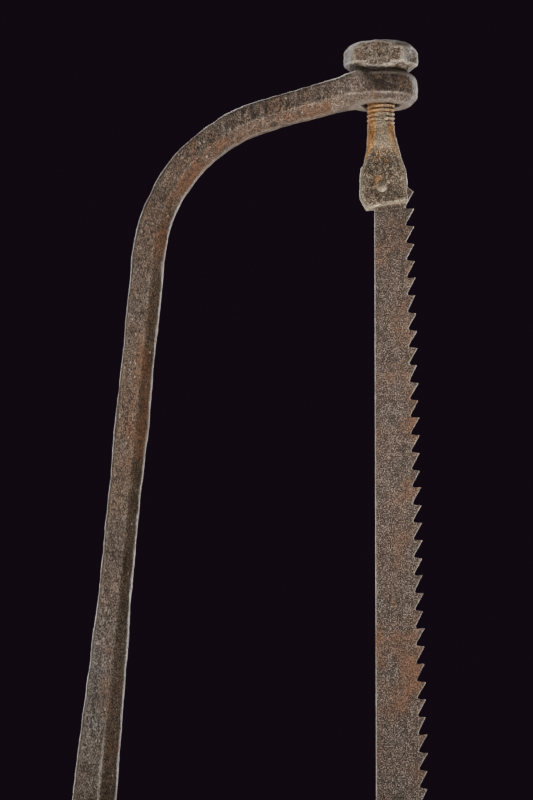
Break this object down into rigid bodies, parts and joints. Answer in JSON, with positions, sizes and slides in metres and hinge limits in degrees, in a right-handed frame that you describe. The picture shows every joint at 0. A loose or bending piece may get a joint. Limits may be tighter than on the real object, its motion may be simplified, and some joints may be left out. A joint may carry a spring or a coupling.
{
  "type": "amputation saw",
  "caption": "Forged iron bow-frame amputation saw with a coarse toothed blade strained by a threaded draw bolt and nut, and a faceted wooden grip.",
  "frame": {"origin": "centre of the wooden grip", "axes": "+Z along the grip and draw bolt towards the saw's tip, +X the way the teeth point, Y across the saw's thickness"},
  "size_m": [0.1253, 0.03, 0.5305],
  "materials": {
    "forged_iron": "hammered, dark brown-grey rust patina with bright worn edges",
    "nut_iron": "dark, hand-worn",
    "rusted_iron": "pitted, orange-brown rust in the thread",
    "rivet_iron": "hammered head, worn",
    "blade_steel": "brown-grey patina, speckled, with rust-red patches",
    "dark_hardwood": "oiled dark hardwood, worn facets"
  },
  "bodies": {
    "bow": {"bow_frame": "forged_iron", "heel_pin": "rivet_iron", "bolster_plate": "forged_iron", "ferrule": "nut_iron", "grip": "dark_hardwood", "butt_cap": "nut_iron"},
    "nut": {"tension_nut": "nut_iron"},
    "bolt": {"draw_bolt": "rusted_iron", "tip_rivet": "rivet_iron"},
    "blade": {"saw_blade": "blade_steel"}
  },
  "joints": [
    {"name": "nut_turn", "type": "hinge", "parent": "bow", "child": "nut", "pos_m": [0, 0, 0.4503], "axis": [0, 0, 1], "range_deg": [0, 1080]},
    {"name": "bolt_draw", "type": "slide", "parent": "bow", "child": "bolt", "axis": [0, 0, 1], "range_m": [-0.0042, 0]},
    {"name": "blade_swing", "type": "hinge", "parent": "bolt", "child": "blade", "pos_m": [0.0003, 0, 0.4183], "axis": [0, -1, 0], "range_deg": [0, 45]}
  ],
  "couplings": [
    {"joint": "nut_turn", "follows": "bolt_draw", "rad_per_m": -4488}
  ]
}
